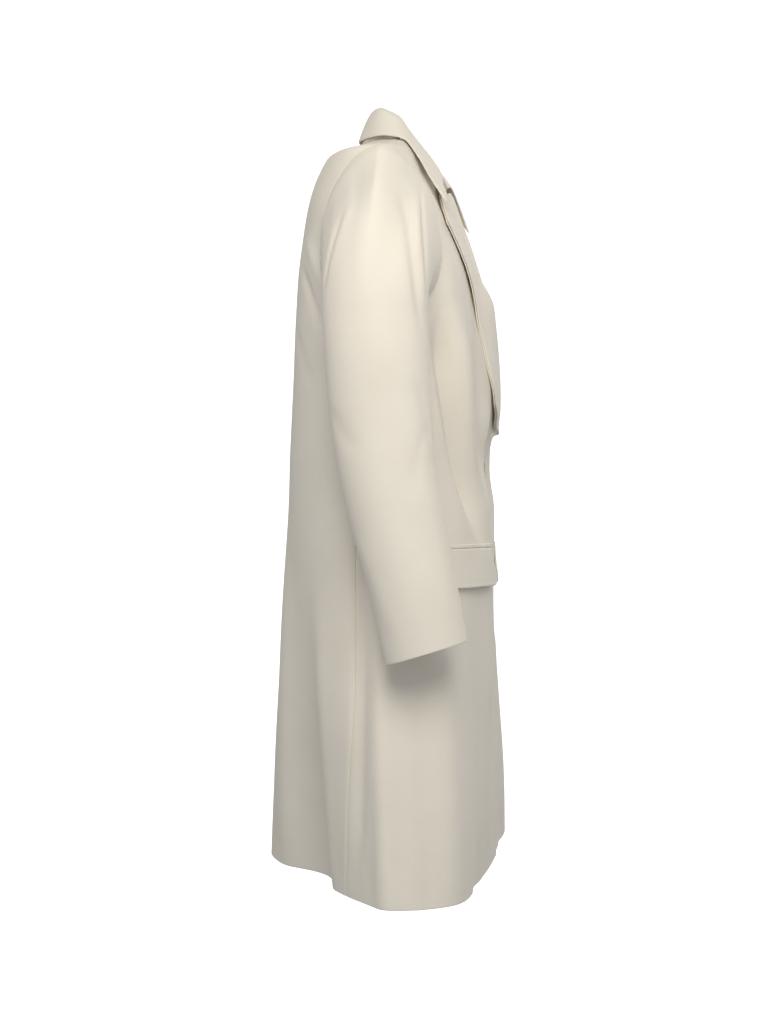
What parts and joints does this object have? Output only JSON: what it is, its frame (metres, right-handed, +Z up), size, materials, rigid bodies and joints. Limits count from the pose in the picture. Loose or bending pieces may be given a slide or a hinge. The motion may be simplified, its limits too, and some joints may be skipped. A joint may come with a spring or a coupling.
{
  "type": "overcoat",
  "caption": "Long ivory wool overcoat, filled out as if worn: single-breasted, notch lapels, stand and fall collar, two-piece sleeves and flapped hip pockets.",
  "frame": {"origin": "Between the shoulders on the wearer's centre plane, level with the sides of the neck, where the shoulders carry the coat", "axes": "+Z up, the coat faces -Y, the wearer's left is +X"},
  "size_m": [0.6356, 0.3175, 1.0185],
  "materials": {
    "ivory_wool": "smooth, lightly milled wool coating with a soft low sheen",
    "ivory_button": "turned and satin-polished button, dyed to the cloth"
  },
  "bodies": {
    "root": {"back_right": "ivory_wool", "front_right": "ivory_wool", "facing_right": "ivory_wool", "sleeve_top_right": "ivory_wool", "sleeve_under_right": "ivory_wool", "flap_right": "ivory_wool", "welt_right": "ivory_wool", "back_left": "ivory_wool", "front_left": "ivory_wool", "facing_left": "ivory_wool", "sleeve_top_left": "ivory_wool", "sleeve_under_left": "ivory_wool", "flap_left": "ivory_wool", "welt_left": "ivory_wool", "collar": "ivory_wool", "button": "ivory_button"}
  },
  "joints": []
}
